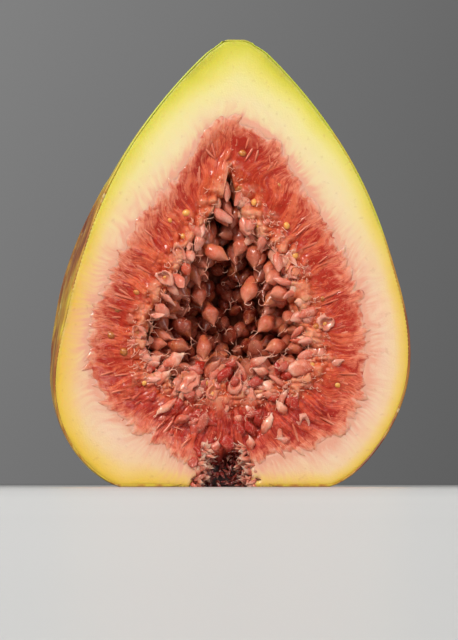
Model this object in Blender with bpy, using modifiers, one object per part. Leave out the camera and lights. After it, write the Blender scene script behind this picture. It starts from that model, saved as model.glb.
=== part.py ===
"""Half of a fresh fig, standing on its eye end.

The fig is cut from the stem tip down to the eye. The flat cut face looks
along -Y, the rounded back is behind it, and the flattened eye end is down.
The hollow of the fig opens on the cut face. Units are metres, +Z is up and
the origin is the middle of the footprint, at the height of the base.
"""
import math

import bmesh
import bpy
import numpy as np
from mathutils import Vector
from mathutils.geometry import interpolate_bezier

MM = 0.001

# Whole fruit
HEIGHT = 64.0 * MM
BELLY_RADIUS = 25.95 * MM
BELLY_HEIGHT = 18.0 * MM
BASE_RADIUS = 15.1 * MM
TIP_RADIUS = 2.2 * MM

# The rounded back, measured from the cut
BACK_DEPTH = 31.0 * MM
BACK_HEIGHT = 23.0 * MM
BACK_BASE_DEPTH = 18.5 * MM

# How far the fruit's widest line lies behind the cut, because the knife
# passed in front of it between these two heights
BACKSET = 6.5 * MM
BACKSET_LOW = 3.0 * MM
BACKSET_HIGH = 56.0 * MM

# The eye end sits to the left of the stem
EYE_OFFSET = -1.7 * MM
LEAN_LOW = 3.0 * MM
LEAN_HIGH = 26.0 * MM

# Hollow inside the fruit
HOLLOW_X = -1.0 * MM
HOLLOW_RADIUS = 9.8 * MM
HOLLOW_WIDEST = 21.5 * MM
HOLLOW_BOTTOM = 16.4 * MM
HOLLOW_TOP = 43.0 * MM

# Eye, the small opening at the base
EYE_RADIUS = 2.7 * MM
EYE_TOP_RADIUS = 1.5 * MM
EYE_DEPTH = 3.4 * MM

# Mesh fineness
TURN_STEPS = 72
OUTLINE_STEPS = 14
HOLLOW_TURN_STEPS = 40
HOLLOW_OUTLINE_STEPS = 9
CLEARANCE = 1.0 * MM
MERGE = 0.00005


def smoothstep(value, low, high):
    t = min(max((value - low) / (high - low), 0.0), 1.0)
    return t * t * (3.0 - 2.0 * t)


def curve_points(start, start_handle, end_handle, end, count):
    """Points of one Bezier stretch, each given as (radius, height)."""
    ends = [Vector((r, 0.0, z)) for r, z in (start, start_handle, end_handle, end)]
    return interpolate_bezier(*ends, count)


def pear_outline(belly_width, belly_height, base_width):
    """Pear outline from the tip down its outer side to the base."""
    belly = (belly_width, belly_height)
    upper = curve_points(
        (TIP_RADIUS, HEIGHT), (0.50 * belly_width, 0.86 * HEIGHT),
        (belly_width, belly_height + 18.0 * MM), belly, OUTLINE_STEPS + 4)
    lower = curve_points(
        belly, (belly_width, 0.44 * belly_height),
        (1.29 * base_width, 0.07 * belly_height), (base_width, 0.0), OUTLINE_STEPS)
    return upper + lower[1:]


def turned_outline():
    """Pear outline of the sides, closed to the axis at the tip and the base."""
    sides = pear_outline(BELLY_RADIUS, BELLY_HEIGHT, BASE_RADIUS)
    return [Vector((0.0, 0.0, HEIGHT))] + sides + [Vector((0.0, 0.0, 0.0))]


def width_at(outline, height):
    """Width of a pear outline at a height."""
    rising = outline[::-1]
    return np.interp(height, [p.z for p in rising], [p.x for p in rising])


def hollow_outline():
    """Outline of the drop-shaped hollow from its top down."""
    widest = (HOLLOW_RADIUS, HOLLOW_WIDEST)
    upper = curve_points(
        (0.0, HOLLOW_TOP), (0.14 * HOLLOW_RADIUS, HOLLOW_TOP - 6.0 * MM),
        (HOLLOW_RADIUS, HOLLOW_WIDEST + 7.0 * MM), widest, HOLLOW_OUTLINE_STEPS)
    lower = curve_points(
        widest, (HOLLOW_RADIUS, HOLLOW_BOTTOM + 1.6 * MM),
        (0.62 * HOLLOW_RADIUS, HOLLOW_BOTTOM), (0.0, HOLLOW_BOTTOM), HOLLOW_OUTLINE_STEPS)
    return upper + lower[1:]


def turned(name, outline, steps, collection):
    """Turn an outline about the Z axis with a Screw modifier and apply it."""
    mesh = bpy.data.meshes.new(name)
    edges = [(i, i + 1) for i in range(len(outline) - 1)]
    mesh.from_pydata(outline, edges, [])
    body = bpy.data.objects.new(name, mesh)
    collection.objects.link(body)
    screw = body.modifiers.new("turn", "SCREW")
    screw.axis = "Z"
    screw.steps = steps
    screw.render_steps = steps
    screw.use_merge_vertices = True
    screw.merge_threshold = MERGE
    apply_modifiers(body)
    return body


def apply_modifiers(body):
    """Replace the object's mesh with its evaluated one."""
    graph = bpy.context.evaluated_depsgraph_get()
    made = bpy.data.meshes.new_from_object(body.evaluated_get(graph))
    body.modifiers.clear()
    body.data = made


def grow_uneven(body):
    """Give the turned body the deeper back and the leaning eye of the fruit."""
    sides = pear_outline(BELLY_RADIUS, BELLY_HEIGHT, BASE_RADIUS)
    back = pear_outline(BACK_DEPTH, BACK_HEIGHT, BACK_BASE_DEPTH)
    for vertex in body.data.vertices:
        x, y, z = vertex.co
        rise = min(max((z - BACKSET_LOW) / (BACKSET_HIGH - BACKSET_LOW), 0.0), 1.0)
        backset = BACKSET * math.sin(math.pi * rise) ** 2
        if y > 0.0:
            y *= (width_at(back, z) - backset) / width_at(sides, z)
        x += EYE_OFFSET * (1.0 - smoothstep(z, LEAN_LOW, LEAN_HIGH))
        vertex.co = (x, y + backset, z)


def knife_cutter(collection):
    """Box that holds everything in front of the cut."""
    size = 2.0 * HEIGHT
    bpy.ops.mesh.primitive_cube_add(size=size, location=(0.0, -0.5 * size, 0.5 * HEIGHT))
    return as_cutter(bpy.context.object, "knife", collection)


def hollow_cutter(collection):
    body = turned("hollow", hollow_outline(), HOLLOW_TURN_STEPS, collection)
    body.location.x = HOLLOW_X
    return as_cutter(body, "hollow", collection)


def eye_cutter(collection):
    bpy.ops.mesh.primitive_cone_add(
        vertices=24, radius1=EYE_RADIUS, radius2=EYE_TOP_RADIUS,
        depth=EYE_DEPTH + CLEARANCE,
        location=(EYE_OFFSET, 0.0, 0.5 * (EYE_DEPTH - CLEARANCE)))
    return as_cutter(bpy.context.object, "eye", collection)


def as_cutter(body, name, collection):
    body.name = name
    for owner in list(body.users_collection):
        owner.objects.unlink(body)
    collection.objects.link(body)
    body.hide_render = True
    body.display_type = "WIRE"
    return body


def cut(body, cutter):
    boolean = body.modifiers.new(cutter.name, "BOOLEAN")
    boolean.operation = "DIFFERENCE"
    boolean.solver = "EXACT"
    boolean.object = cutter
    bpy.context.view_layer.update()
    apply_modifiers(body)


def tidy_mesh(body):
    """Merge doubled corners and drop the edges that crossed flat faces."""
    mesh = bmesh.new()
    mesh.from_mesh(body.data)
    bmesh.ops.remove_doubles(mesh, verts=mesh.verts, dist=MERGE)
    bmesh.ops.dissolve_limit(
        mesh, angle_limit=math.radians(0.2), verts=mesh.verts, edges=mesh.edges)
    bmesh.ops.triangulate(mesh, faces=mesh.faces)
    bmesh.ops.recalc_face_normals(mesh, faces=mesh.faces)
    mesh.to_mesh(body.data)
    mesh.free()


def stand_on_origin(body):
    """Put the middle of the footprint, at the base, on the origin."""
    corners = [vertex.co.copy() for vertex in body.data.vertices]
    low = Vector(min(c[i] for c in corners) for i in range(3))
    high = Vector(max(c[i] for c in corners) for i in range(3))
    middle = 0.5 * (low + high)
    for vertex in body.data.vertices:
        vertex.co -= Vector((middle.x, middle.y, low.z))


def fig_material():
    material = bpy.data.materials.new("fig_flesh_and_skin")
    material.use_nodes = True
    shader = material.node_tree.nodes["Principled BSDF"]
    shader.inputs["Base Color"].default_value = (0.72, 0.42, 0.16, 1.0)
    shader.inputs["Roughness"].default_value = 0.45
    shader.inputs["Metallic"].default_value = 0.0
    return material


def fig_half(parts, cutters):
    body = turned("fig_half", turned_outline(), TURN_STEPS, parts)
    grow_uneven(body)
    for cutter in (knife_cutter(cutters), hollow_cutter(cutters), eye_cutter(cutters)):
        cut(body, cutter)
    tidy_mesh(body)
    stand_on_origin(body)
    body.data.materials.clear()
    body.data.materials.append(fig_material())
    body.data.shade_smooth()
    body.data.set_sharp_from_angle(angle=math.radians(40.0))
    return body


def main():
    for old in list(bpy.data.objects):
        bpy.data.objects.remove(old)
    parts = bpy.data.collections.new("fresh_fig")
    cutters = bpy.data.collections.new("cutters")
    bpy.context.scene.collection.children.link(parts)
    bpy.context.scene.collection.children.link(cutters)
    fig_half(parts, cutters)


main()
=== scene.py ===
"""Looks of the fresh fig half: skin, flesh, pulp, florets, seeds and eye.

Shapes are worked out in the fig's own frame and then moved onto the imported
solid: u runs to the right along the cut face, d runs back from the cut, and
v runs up from the base, all in millimetres.
"""
import itertools
import math
from typing import NamedTuple

import bpy
import numpy as np
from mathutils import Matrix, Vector


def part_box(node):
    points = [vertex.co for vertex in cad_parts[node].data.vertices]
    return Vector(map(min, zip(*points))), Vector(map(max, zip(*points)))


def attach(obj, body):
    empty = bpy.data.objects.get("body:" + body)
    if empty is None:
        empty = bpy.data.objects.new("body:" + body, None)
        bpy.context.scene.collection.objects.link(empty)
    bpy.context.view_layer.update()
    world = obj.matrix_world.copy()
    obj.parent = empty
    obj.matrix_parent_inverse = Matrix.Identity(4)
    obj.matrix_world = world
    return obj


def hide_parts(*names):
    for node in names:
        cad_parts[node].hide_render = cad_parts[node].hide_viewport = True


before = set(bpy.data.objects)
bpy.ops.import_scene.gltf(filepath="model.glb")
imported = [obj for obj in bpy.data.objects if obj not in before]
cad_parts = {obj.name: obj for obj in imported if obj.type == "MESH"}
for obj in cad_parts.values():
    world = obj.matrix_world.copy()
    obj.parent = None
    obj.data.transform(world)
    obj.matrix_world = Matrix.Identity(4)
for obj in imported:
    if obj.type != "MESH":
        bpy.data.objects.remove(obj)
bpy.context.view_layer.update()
FIG_LOW, FIG_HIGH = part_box("fig_half")

# ---- sizes, mm

# The fruit, as it is built in the solid
HEIGHT = 64.0
BELLY_RADIUS, BELLY_HEIGHT, BASE_RADIUS = 25.95, 18.0, 15.1
BACK_DEPTH, BACK_HEIGHT, BACK_BASE_DEPTH = 31.0, 23.0, 18.5
TIP_RADIUS = 2.2
BACKSET, BACKSET_LOW, BACKSET_HIGH = 6.5, 3.0, 56.0
EYE_OFFSET, LEAN_LOW, LEAN_HIGH = -1.7, 3.0, 26.0
EYE_RADIUS = 4.4

# Middle of the cut face, which every outline on it is drawn around
CENTRE = np.array([-1.0, 24.0])
# Point that the stalks and florets grow towards
FOCUS = np.array([-1.1, 20.0])

# Where the red pulp meets the flesh, going round from the top
PULP_POINTS = [
    (-1.0, 52.8), (4.6, 50.6), (9.0, 44.9), (16.5, 32.1), (19.2, 23.0), (19.0, 15.4),
    (16.9, 9.8), (12.6, 5.9), (4.7, 3.6), (-1.8, 2.0), (-7.6, 3.4), (-12.1, 6.3),
    (-16.8, 9.3), (-20.8, 14.2), (-22.0, 19.5), (-20.8, 25.5), (-18.7, 30.4),
    (-15.1, 37.0), (-11.6, 41.5), (-7.2, 47.1), (-4.8, 50.6)]

# Edge of the hollow, going round from its top
HOLLOW_POINTS = [
    (-1.0, 43.8), (0.2, 40.0), (1.6, 36.4), (5.2, 33.2), (6.9, 30.0), (8.6, 25.1),
    (9.9, 20.8), (8.8, 16.9), (3.8, 15.9), (-1.0, 16.2), (-6.0, 15.8), (-11.4, 16.7),
    (-12.2, 20.8), (-10.9, 25.1), (-7.9, 29.8), (-6.1, 33.0), (-4.2, 36.6), (-2.2, 40.0)]
HOLLOW_EDGE_DEPTH, HOLLOW_DEPTH = 0.8, 11.5

SKIN_THICKNESS, WALL_THICKNESS = 0.35, 1.5
# How far the flesh runs in under the pulp, and the pulp out over the flesh
FLESH_OVERLAP, PULP_OVERLAP = 3.6, 1.8
# How far back from the cut they go. Where the fruit is thin, the flesh keeps to a share
# of the depth of the fruit.
FLESH_BACK, FLESH_BACK_SHARE, PULP_BACK = 6.0, 0.28, 5.2

# Points round and across each sheet
OUTLINE_SAMPLES = 720
SKIN_COLUMNS, SKIN_ROWS = 300, 132
PULP_ROWS, PULP_COLUMNS = 900, 102
WALL_ROWS, WALL_COLUMNS = 360, 60
# Ribs of the skin in a full turn
RIBS = 34.0

# ---- basic helpers


def smoothstep(value, low, high):
    t = np.clip((value - low) / (high - low), 0.0, 1.0)
    return t * t * (3.0 - 2.0 * t)


def unit(vectors):
    return vectors / np.maximum(np.linalg.norm(vectors, axis=-1, keepdims=True), 1e-9)


def round_angles(count):
    return np.linspace(0.0, 2.0 * math.pi, count, endpoint=False)


def noise(points, size, seed):
    """Smooth random values from -1 to 1 at points in mm, with lumps of a size in mm."""
    scaled = points / size
    cell = np.floor(scaled).astype(np.int64)
    part = scaled - cell
    part = part * part * (3.0 - 2.0 * part)
    total = np.zeros(points.shape[:-1])
    for corner in itertools.product((0, 1), repeat=3):
        c = cell + np.array(corner)
        mixed = c[..., 0] * 73856093 ^ c[..., 1] * 19349663 ^ c[..., 2] * 83492791 ^ seed * 7919
        mixed = (mixed ^ (mixed >> 13)) * 1274126177 & 0x7FFFFFFF
        weight = np.prod(np.where(np.array(corner) == 1, part, 1.0 - part), axis=-1)
        total += weight * ((mixed >> 7) % 4096 / 2047.5 - 1.0)
    return total


# ---- shape of the fruit


def bezier(start, start_handle, end_handle, end, count):
    t = np.linspace(0.0, 1.0, count)[:, None]
    p = [np.array(q) for q in (start, start_handle, end_handle, end)]
    return ((1 - t) ** 3 * p[0] + 3 * (1 - t) ** 2 * t * p[1]
            + 3 * (1 - t) * t ** 2 * p[2] + t ** 3 * p[3])


def pear_outline(belly_width, belly_height, base_width):
    """Pear outline as (width, v) from the tip down its outer side to the base."""
    belly = (belly_width, belly_height)
    upper = bezier((TIP_RADIUS, HEIGHT), (0.50 * belly_width, 0.86 * HEIGHT),
                   (belly_width, belly_height + 18.0), belly, 90)
    lower = bezier(belly, (belly_width, 0.44 * belly_height),
                   (1.29 * base_width, 0.07 * belly_height), (base_width, 0.0), 60)
    return np.concatenate([upper, lower[1:]])


SIDES = pear_outline(BELLY_RADIUS, BELLY_HEIGHT, BASE_RADIUS)
BACK = pear_outline(BACK_DEPTH, BACK_HEIGHT, BACK_BASE_DEPTH)


def width_at(outline, v):
    return np.interp(v, outline[::-1, 1], outline[::-1, 0])


def backset_at(v):
    rise = np.clip((v - BACKSET_LOW) / (BACKSET_HIGH - BACKSET_LOW), 0.0, 1.0)
    return BACKSET * np.sin(math.pi * rise) ** 2


def lean_at(v):
    return EYE_OFFSET * (1.0 - smoothstep(v, LEAN_LOW, LEAN_HIGH))


def cut_half_width(v):
    return np.sqrt(width_at(SIDES, v) ** 2 - backset_at(v) ** 2)


def polar(points):
    """Closed outline as radius against angle about the middle of the cut face."""
    offset = points - CENTRE
    angle = np.arctan2(offset[:, 1], offset[:, 0])
    order = np.argsort(angle)
    return angle[order], np.hypot(offset[:, 0], offset[:, 1])[order]


def radius_on(outline, angle):
    return np.interp(angle, outline[0], outline[1], period=2.0 * math.pi)


def face_outline():
    """Outline of the whole cut face."""
    v = SIDES[:, 1]
    right = np.stack([lean_at(v) + cut_half_width(v), v], 1)
    left = np.stack([lean_at(v) - cut_half_width(v), v], 1)
    across = np.linspace(-1.0, 1.0, 60)[1:-1]
    base = np.stack([EYE_OFFSET + BASE_RADIUS * across, 0.0 * across], 1)
    top = np.stack([TIP_RADIUS * across, 0.0 * across + HEIGHT], 1)
    return polar(np.concatenate([right, base, left, top]))


def smooth_loop(knots, per_knot=24):
    """Closed smooth curve through a few points."""
    p = np.array(knots)
    before, after, beyond = np.roll(p, 1, 0), np.roll(p, -1, 0), np.roll(p, -2, 0)
    t = np.linspace(0.0, 1.0, per_knot, endpoint=False)[:, None, None]
    loop = 0.5 * (2.0 * p + (after - before) * t
                  + (2.0 * before - 5.0 * p + 4.0 * after - beyond) * t ** 2
                  + (3.0 * p - before - 3.0 * after + beyond) * t ** 3)
    return loop.transpose(1, 0, 2).reshape(-1, 2)


FACE = face_outline()
PULP = polar(smooth_loop(PULP_POINTS))
HOLLOW = polar(smooth_loop(HOLLOW_POINTS))


def on_face(angle, radius):
    """(u, v) of points given by angle and distance from the middle of the cut face."""
    return np.stack([CENTRE[0] + radius * np.cos(angle), CENTRE[1] + radius * np.sin(angle)], -1)


def at_depth(face, depth):
    """(u, d, v) points from (u, v) points of the cut face and how far back they lie."""
    return np.stack([face[..., 0], depth + 0.0 * face[..., 0], face[..., 1]], -1)


def distance_to(outline, points):
    """Shortest way in mm from (u, v) points to an outline."""
    curve = on_face(outline[0], outline[1])
    flat = points.reshape(-1, 2)
    nearest = [np.hypot(*(block[:, None] - curve).transpose(2, 0, 1)).min(1)
               for block in np.array_split(flat, max(1, len(flat) // 2000))]
    return np.concatenate(nearest).reshape(points.shape[:-1])


def pulp_share(points):
    """0 where the pulp meets the flesh, 1 at the edge of the hollow."""
    offset = points - CENTRE
    angle = np.arctan2(offset[..., 1], offset[..., 0])
    outer, inner = radius_on(PULP, angle), radius_on(HOLLOW, angle)
    return (outer - np.hypot(offset[..., 0], offset[..., 1])) / (outer - inner)


def strand_place(face):
    """Place, in mm, where noise makes strands that run towards the focus."""
    offset = face - FOCUS
    reach = np.hypot(offset[..., 0], offset[..., 1])
    flat = np.stack([face[..., 0], face[..., 1], 0.0 * reach], -1)
    turn = np.arctan2(offset[..., 1], offset[..., 0])
    turn = turn + 0.08 * noise(flat, 7.0, 41) + 0.035 * noise(flat, 2.6, 42)
    return np.stack([22.0 * np.cos(turn), 22.0 * np.sin(turn), 0.20 * reach], -1)


def eye_zone(face):
    """1 in the channel of the eye on the cut face, 0 away from it."""
    flat = at_depth(face, 0.0)
    across = np.abs(face[..., 0] - EYE_OFFSET + 0.1) + 0.9 * noise(flat, 1.1, 15)
    across = across + 0.25 * face[..., 1]
    height = face[..., 1] + 1.0 * noise(flat, 1.2, 17)
    return (1.0 - smoothstep(across, 3.2, 4.8)) * (1.0 - smoothstep(height, 2.4, 6.0))


def bed_points(angle, step):
    """Wall of the hollow: steps 1 to 2 go from its edge down to its deepest point."""
    down = (step - 1.0) * 0.5 * math.pi
    radius = (radius_on(HOLLOW, angle) + 0.5) * np.cos(down)
    depth = HOLLOW_EDGE_DEPTH + (HOLLOW_DEPTH - HOLLOW_EDGE_DEPTH) * np.sin(down)
    return at_depth(on_face(angle, radius), depth)


# ---- from mm to mesh


def outline_middle():
    """Middle of the fruit's width, which the solid has at x = 0."""
    v = SIDES[:, 1]
    sides = lean_at(v) + SIDES[:, 0], lean_at(v) - SIDES[:, 0]
    return 0.5 * (sides[0].max() + sides[1].min())


SCALE = (FIG_HIGH.z - FIG_LOW.z) / HEIGHT
AXIS_X = 0.5 * (FIG_LOW.x + FIG_HIGH.x) - outline_middle() * SCALE
FRONT_Y = FIG_LOW.y


def to_world(points):
    """World coordinates, in metres, of (u, d, v) points in mm."""
    return points * SCALE + np.array([AXIS_X, FRONT_Y, FIG_LOW.z])


def new_object(name, data):
    made = bpy.data.objects.new(name, data)
    bpy.context.scene.collection.objects.link(made)
    return made


def make_piece(name, points, face_sets, values=None, uv=None):
    """Mesh object from (u, d, v) points and arrays of faces. Nothing goes below the base,
    and values are named numbers, or (x, y, z) triples, for each point."""
    points = points.copy()
    points[:, 2] = np.maximum(points[:, 2], 0.0)
    mesh = bpy.data.meshes.new(name)
    mesh.vertices.add(len(points))
    mesh.vertices.foreach_set("co", to_world(points).ravel())
    sizes = np.concatenate([np.full(len(f), f.shape[1]) for f in face_sets])
    corners = np.concatenate([f.ravel() for f in face_sets])
    mesh.loops.add(len(corners))
    mesh.loops.foreach_set("vertex_index", corners)
    mesh.polygons.add(len(sizes))
    mesh.polygons.foreach_set("loop_start", np.cumsum(sizes) - sizes)
    mesh.update(calc_edges=True)
    mesh.validate()
    for key, numbers in (values or {}).items():
        kind, word = ("FLOAT_VECTOR", "vector") if numbers.ndim == 2 else ("FLOAT", "value")
        store = mesh.attributes.new(key, kind, "POINT")
        store.data.foreach_set(word, np.asarray(numbers, np.float32).ravel())
    if uv is not None:
        layer = mesh.uv_layers.new(name="OFBake")
        layer.data.foreach_set("uv", uv[corners].ravel().astype(np.float32))
    mesh.shade_smooth()
    return new_object(name, mesh)


def grid_faces(rows, columns, wrap_rows=False, wrap_columns=False):
    """Quads of a grid of points stored row by row."""
    r = np.arange(rows if wrap_rows else rows - 1)
    c = np.arange(columns if wrap_columns else columns - 1)
    r, c = np.meshgrid(r, c, indexing="ij")
    down, right = (r + 1) % rows, (c + 1) % columns
    quads = [r * columns + c, r * columns + right, down * columns + right, down * columns + c]
    return np.stack(quads, -1).reshape(-1, 4)


def tube_faces(rings, sides):
    """Faces of a closed tube: its sides and its two ends."""
    bottom = np.arange(sides)[::-1][None, :]
    top = ((rings - 1) * sides + np.arange(sides))[None, :]
    return [grid_faces(rings, sides, wrap_columns=True), bottom, top]


def copied_faces(face_sets, count, each):
    """The same faces on each of many copies that have as many points each."""
    first = np.arange(count)[:, None, None] * each
    return [(f[None] + first).reshape(-1, f.shape[1]) for f in face_sets]


def per_point(fields, columns):
    """Values of a sheet's points from fields of its front and the columns repeated behind."""
    both = {key: np.concatenate([field, field[:, columns]], 1) for key, field in fields.items()}
    return {key: f.reshape(-1, 3) if f.ndim == 3 else f.ravel() for key, f in both.items()}


def finish_piece(piece, material):
    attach(piece, "root")
    piece.data.materials.append(material)
    return piece


# ---- materials

# Nearly all of a noise lies between these two numbers
NOISE_SPAN = (0.3, 0.7)
# Low, so that wet places don't look like glass
WET_IOR = 1.36

# Stalks and florets: root, middle, tip, the darkest ones, and warm patches
BODY_COLOURS = {
    "fig_stalk": ((0.83, 0.44, 0.30), (0.76, 0.24, 0.14), (0.66, 0.11, 0.045),
                  (0.50, 0.040, 0.014), (0.74, 0.20, 0.11)),
    "fig_lump": ((0.62, 0.12, 0.060), (0.78, 0.29, 0.20), (0.84, 0.45, 0.34),
                 (0.62, 0.10, 0.045), (0.80, 0.34, 0.22)),
    "fig_rim": ((0.62, 0.12, 0.055), (0.82, 0.36, 0.24), (0.89, 0.60, 0.46),
                (0.62, 0.12, 0.055), (0.82, 0.38, 0.22)),
    "fig_low": ((0.58, 0.075, 0.034), (0.80, 0.27, 0.165), (0.88, 0.54, 0.40),
                (0.44, 0.020, 0.009), (0.66, 0.10, 0.045)),
    # Florets of the hollow: kept darker than the rim's as painted shade of the hollow
    "fig_deep": ((0.42, 0.045, 0.015), (0.67, 0.155, 0.082), (0.76, 0.28, 0.17),
                 (0.20, 0.018, 0.006), (0.58, 0.17, 0.05)),
    "fig_cup": ((0.64, 0.13, 0.070), (0.84, 0.42, 0.31), (0.50, 0.085, 0.030),
                (0.64, 0.14, 0.075), (0.70, 0.26, 0.07)),
    "fig_eye": ((0.50, 0.055, 0.028), (0.68, 0.20, 0.12), (0.86, 0.56, 0.40),
                (0.17, 0.010, 0.008), (0.42, 0.030, 0.020))}


class Nodes:
    """Short hand for the nodes of one tree."""

    def __init__(self, tree):
        self.tree = tree

    def node(self, kind, **settings):
        made = self.tree.nodes.new(kind)
        for key, value in settings.items():
            setattr(made, key, value)
        return made

    def link(self, source, socket):
        self.tree.links.new(source, socket)

    def fill(self, socket, value):
        """Link an output to a socket, or set the socket to a plain value."""
        if isinstance(value, bpy.types.NodeSocket):
            self.link(value, socket)
        elif socket.type == "RGBA":
            socket.default_value = (*value, 1.0)
        else:
            socket.default_value = value

    def ramp(self, value, stops):
        """Colours against a number: stops are (position, colour)."""
        ramp = self.node("ShaderNodeValToRGB")
        elements = ramp.color_ramp.elements
        while len(elements) < len(stops):
            elements.new(0.5)
        for element, (position, colour) in zip(elements, stops):
            element.position = position
            element.color = (*colour, 1.0)
        self.link(value, ramp.inputs["Fac"])
        return ramp.outputs["Color"]

    def span(self, value, low, high, to_low=0.0, to_high=1.0):
        """A number moved from one range to another and kept inside it."""
        node = self.node("ShaderNodeMapRange")
        self.fill(node.inputs["Value"], value)
        for name, number in (("From Min", low), ("From Max", high),
                             ("To Min", to_low), ("To Max", to_high)):
            node.inputs[name].default_value = number
        return node.outputs["Result"]

    def math(self, operation, first, second):
        node = self.node("ShaderNodeMath", operation=operation)
        self.fill(node.inputs[0], first)
        self.fill(node.inputs[1], second)
        return node.outputs[0]

    def vary(self, value, texture, amount):
        """A number moved up and down by a noise, by an amount either way."""
        return self.math("ADD", value, self.span(texture, *NOISE_SPAN, -amount, amount))

    def mix(self, share, first, second):
        node = self.node("ShaderNodeMix", data_type="RGBA")
        for socket, value in zip((0, 6, 7), (share, first, second)):
            self.fill(node.inputs[socket], value)
        return node.outputs[2]


class Shader(Nodes):
    """Node material with one Principled shader."""

    def __init__(self, name, roughness, coat=0.0, coat_roughness=0.1, subsurface=0.0,
                 radius_mm=(1.2, 0.5, 0.3)):
        self.material = bpy.data.materials.new(name)
        self.material.use_nodes = True
        super().__init__(self.material.node_tree)
        self.shader = self.tree.nodes["Principled BSDF"]
        self.set("Roughness", roughness)
        self.set("Coat Weight", coat)
        self.set("Coat Roughness", coat_roughness)
        self.set("Subsurface Weight", subsurface)
        self.set("Subsurface Radius", radius_mm)
        self.set("Subsurface Scale", 0.001)
        self.place = self.node("ShaderNodeTexCoord").outputs["Object"]

    def set(self, name, value):
        self.fill(self.shader.inputs[name], value)

    def rough(self, texture, low, high):
        self.set("Roughness", self.span(texture, *NOISE_SPAN, low, high))

    def attribute(self, name, output="Fac"):
        return self.node("ShaderNodeAttribute", attribute_name=name).outputs[output]

    def noise(self, size_mm, detail=3.0, distortion=0.0, stretch=None, place=None):
        """Noise with lumps of a size in mm, as a number about 0.5."""
        texture = self.node("ShaderNodeTexNoise")
        texture.inputs["Scale"].default_value = 1.0 / size_mm if place else 1000.0 / size_mm
        texture.inputs["Detail"].default_value = detail
        texture.inputs["Distortion"].default_value = distortion
        place = place or self.place
        if stretch is not None:
            mapping = self.node("ShaderNodeMapping")
            mapping.inputs["Scale"].default_value = stretch
            self.link(place, mapping.inputs["Vector"])
            place = mapping.outputs["Vector"]
        self.link(place, texture.inputs["Vector"])
        return texture.outputs["Fac"]

    def bump(self, height, depth_mm, strength):
        node = self.node("ShaderNodeBump")
        node.inputs["Strength"].default_value = strength
        node.inputs["Distance"].default_value = 0.001 * depth_mm
        self.link(height, node.inputs["Height"])
        self.link(node.outputs["Normal"], self.shader.inputs["Normal"])


def skin_material():
    """Yellow-green skin with a brown and red blush, fine streaks and specks."""
    s = Shader("fig_skin", 0.46, coat=0.06, coat_roughness=0.3, subsurface=0.12,
               radius_mm=(1.0, 0.7, 0.2))
    height = s.attribute("height")
    streaks = s.noise(1.6, 4.0, 0.4, stretch=(1.0, 1.0, 0.16))
    blush = s.vary(s.attribute("blush"), s.noise(14.0, 3.0, 0.5), 0.28)
    colour = s.ramp(s.vary(blush, streaks, 0.22), [
        (0.10, (0.52, 0.52, 0.030)), (0.34, (0.60, 0.43, 0.035)), (0.54, (0.50, 0.25, 0.025)),
        (0.70, (0.33, 0.105, 0.018)), (0.95, (0.16, 0.032, 0.016))])
    green = s.ramp(height, [(0.0, (0.66, 0.64, 0.10)), (1.0, (0.50, 0.56, 0.04))])
    colour = s.mix(s.span(height, 0.74, 0.97, 0.0, 0.9), colour, green)
    specks = s.node("ShaderNodeTexVoronoi")
    specks.inputs["Scale"].default_value = 480.0
    s.link(s.place, specks.inputs["Vector"])
    speck = s.span(specks.outputs["Distance"], 0.10, 0.20, 0.55, 0.0)
    s.set("Base Color", s.mix(speck, colour, (0.78, 0.66, 0.34)))
    s.rough(streaks, 0.36, 0.52)
    s.bump(s.math("ADD", streaks, s.noise(0.5, 2.0)), 0.06, 0.7)
    return s.material


def flesh_material():
    """Flesh of the cut face: skin line, yellow-green, cream, then pink at the pulp."""
    s = Shader("fig_flesh", 0.42, coat=0.15, coat_roughness=0.3, subsurface=0.35,
               radius_mm=(1.6, 0.9, 0.4))
    fine = s.noise(0.9, 3.0, 0.2)
    depth = s.math("DIVIDE", s.attribute("rim"), s.attribute("green"))
    depth = s.math("MULTIPLY", s.vary(depth, s.noise(6.0, 3.0, 0.3), 0.25), 0.2)
    top = s.ramp(depth, [
        (0.0, (0.50, 0.46, 0.030)), (0.10, (0.68, 0.61, 0.050)), (0.28, (0.79, 0.69, 0.15)),
        (0.55, (0.83, 0.73, 0.30)), (1.0, (0.84, 0.70, 0.38))])
    low = s.ramp(depth, [
        (0.0, (0.58, 0.40, 0.030)), (0.12, (0.81, 0.52, 0.055)), (0.36, (0.85, 0.59, 0.18)),
        (0.60, (0.86, 0.62, 0.35)), (1.0, (0.87, 0.64, 0.44))])
    colour = s.mix(s.attribute("top"), low, top)
    streak = s.noise(0.55, 3.0, 0.2, place=s.attribute("strands", "Vector"))
    pink = s.math("MULTIPLY", s.attribute("pink"), s.span(streak, 0.35, 0.65, 0.55, 1.45))
    colour = s.mix(s.span(pink, 0.08, 1.0, 0.0, 0.95), colour, (0.81, 0.37, 0.25))
    line = s.math("MULTIPLY", s.span(s.attribute("rim"), 0.05, 0.24, 0.8, 0.0),
                  s.span(s.attribute("top"), 0.3, 1.0, 1.0, 0.6))
    colour = s.mix(line, colour, (0.26, 0.15, 0.03))
    eye = s.vary(s.attribute("eye"), fine, 0.15)
    colour = s.mix(s.span(eye, 0.10, 0.45), colour, (0.40, 0.11, 0.05))
    # Near-black where the eye's channel sinks back is painted shade; the maroon before it is the
    # eye's own colour
    s.set("Base Color", s.mix(s.span(eye, 0.40, 0.80), colour, (0.060, 0.014, 0.010)))
    s.rough(fine, 0.36, 0.50)
    s.bump(s.math("ADD", fine, s.noise(0.25, 2.0)), 0.05, 0.5)
    return s.material


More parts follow.
